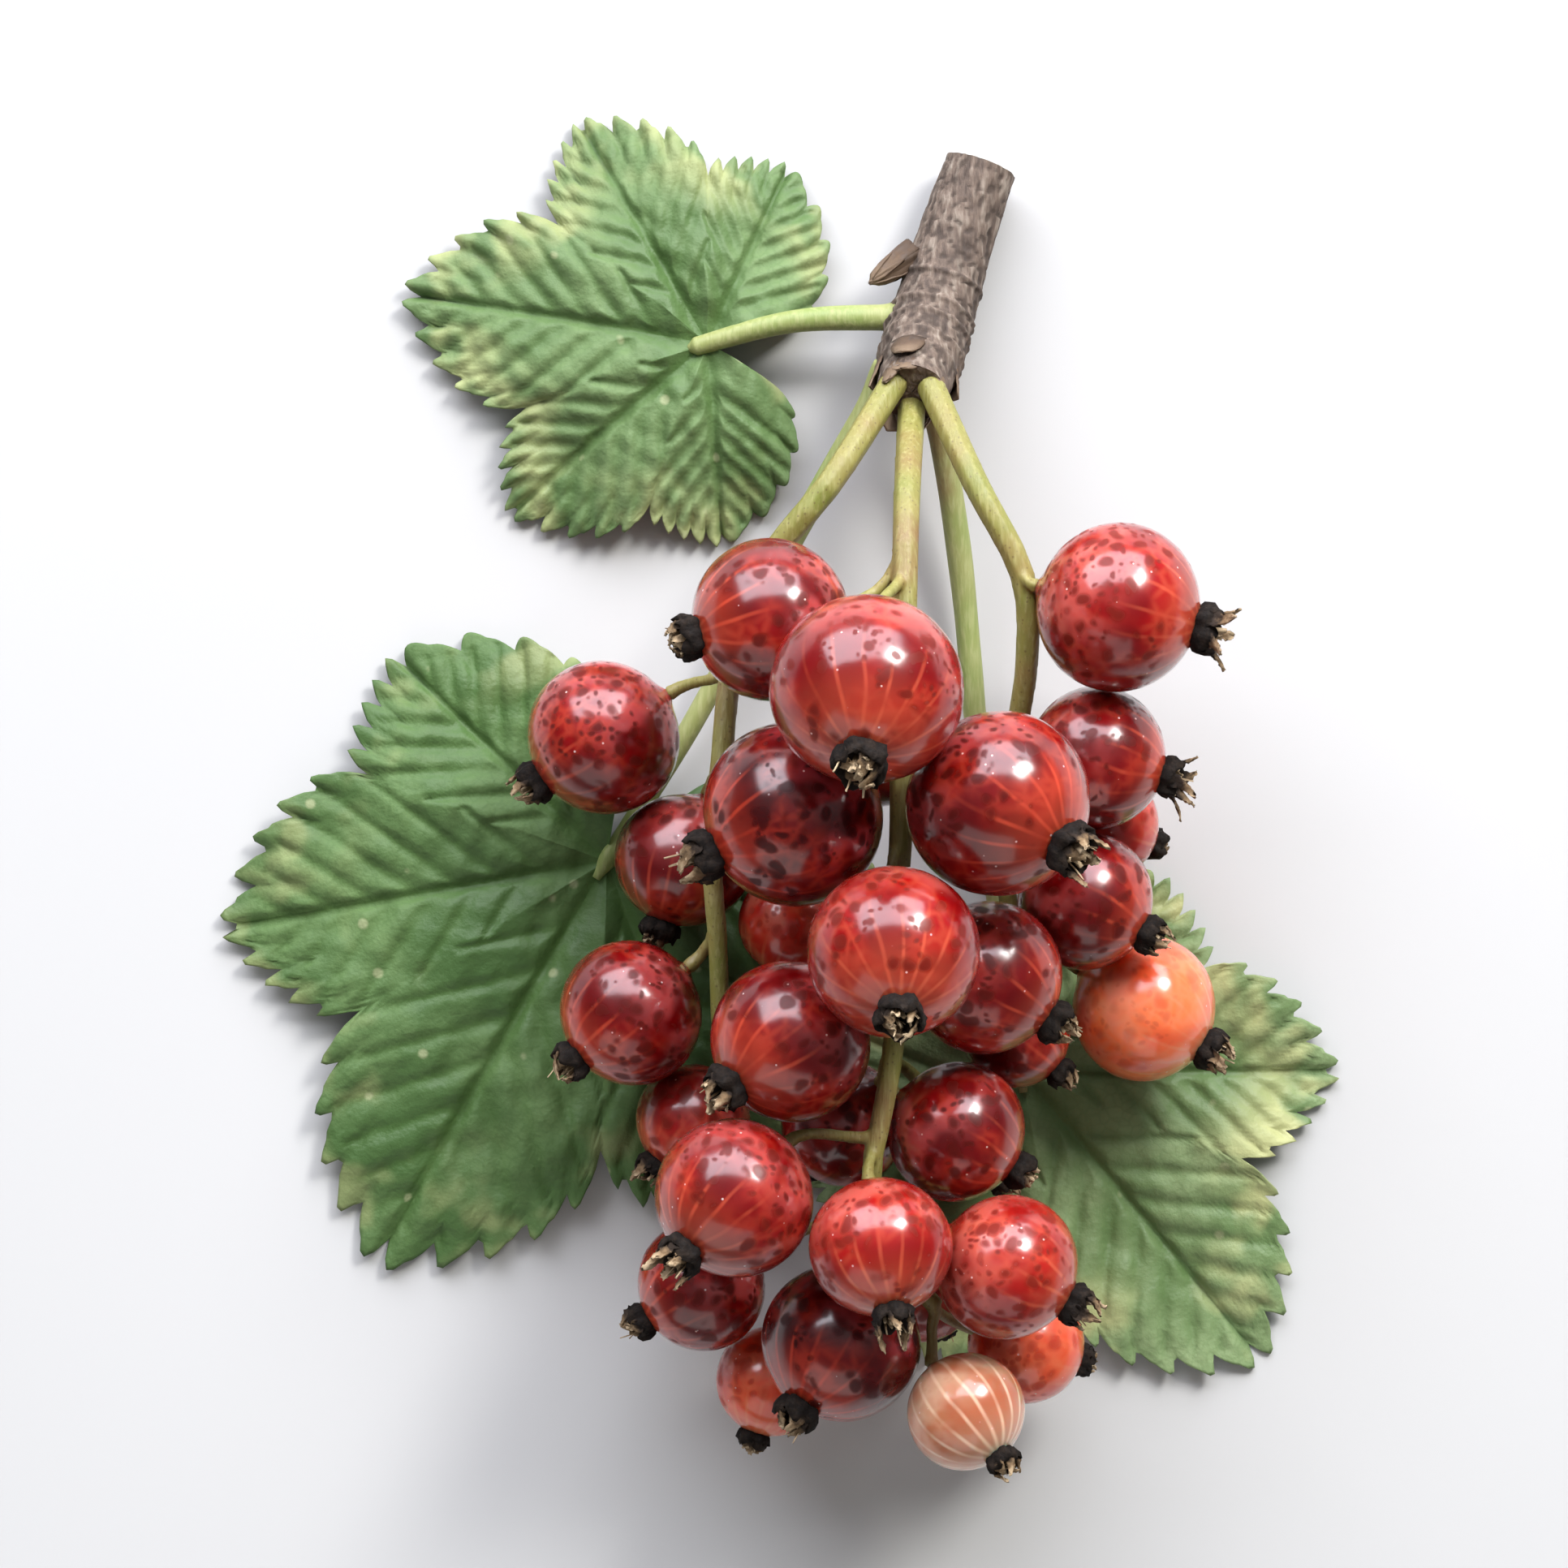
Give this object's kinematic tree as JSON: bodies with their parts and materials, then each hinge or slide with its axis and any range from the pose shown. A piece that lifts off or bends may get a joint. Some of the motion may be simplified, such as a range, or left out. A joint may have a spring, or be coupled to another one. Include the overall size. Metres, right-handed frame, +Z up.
{
  "type": "redcurrant sprig",
  "caption": "Picked sprig of redcurrants lying on a surface: glossy red berries on three green stalks, with lobed leaves and a short cut woody twig.",
  "frame": {"origin": "on the surface that the sprig lies on, under the middle of its bounding box", "axes": "+Z up from the surface, +Y along the sprig from the tips of the strigs to the twig, +X to the right seen from above"},
  "size_m": [0.064, 0.0782, 0.0304],
  "materials": {
    "berry": "glossy, translucent thin skin over juicy red flesh",
    "stalk": "smooth yellow-green soft stalk",
    "leaf": "matte, wrinkled between the veins",
    "bark": "rough grey-brown bark, pale at the cut"
  },
  "bodies": {
    "root": {"twig": "bark", "leaf_left": "leaf", "leaf_right": "leaf", "leaf_upper": "leaf", "strig_main": "stalk", "strig_right": "stalk", "strig_left": "stalk", "main_berry_01": "berry", "main_berry_02": "berry", "main_berry_03": "berry", "main_berry_04": "berry", "main_berry_05": "berry", "main_berry_06": "berry", "main_berry_07": "berry", "main_berry_08": "berry", "main_berry_09": "berry", "main_berry_10": "berry", "main_berry_11": "berry", "main_berry_12": "berry", "main_berry_13": "berry", "main_berry_14": "berry", "main_berry_15": "berry", "main_berry_16": "berry", "main_berry_17": "berry", "main_berry_18": "berry", "main_berry_19": "berry", "main_berry_20": "berry", "right_berry_01": "berry", "right_berry_02": "berry", "right_berry_03": "berry", "right_berry_04": "berry", "right_berry_05": "berry", "right_berry_06": "berry", "left_berry_01": "berry", "left_berry_02": "berry", "left_berry_03": "berry", "left_berry_04": "berry", "left_berry_05": "berry"}
  },
  "joints": []
}
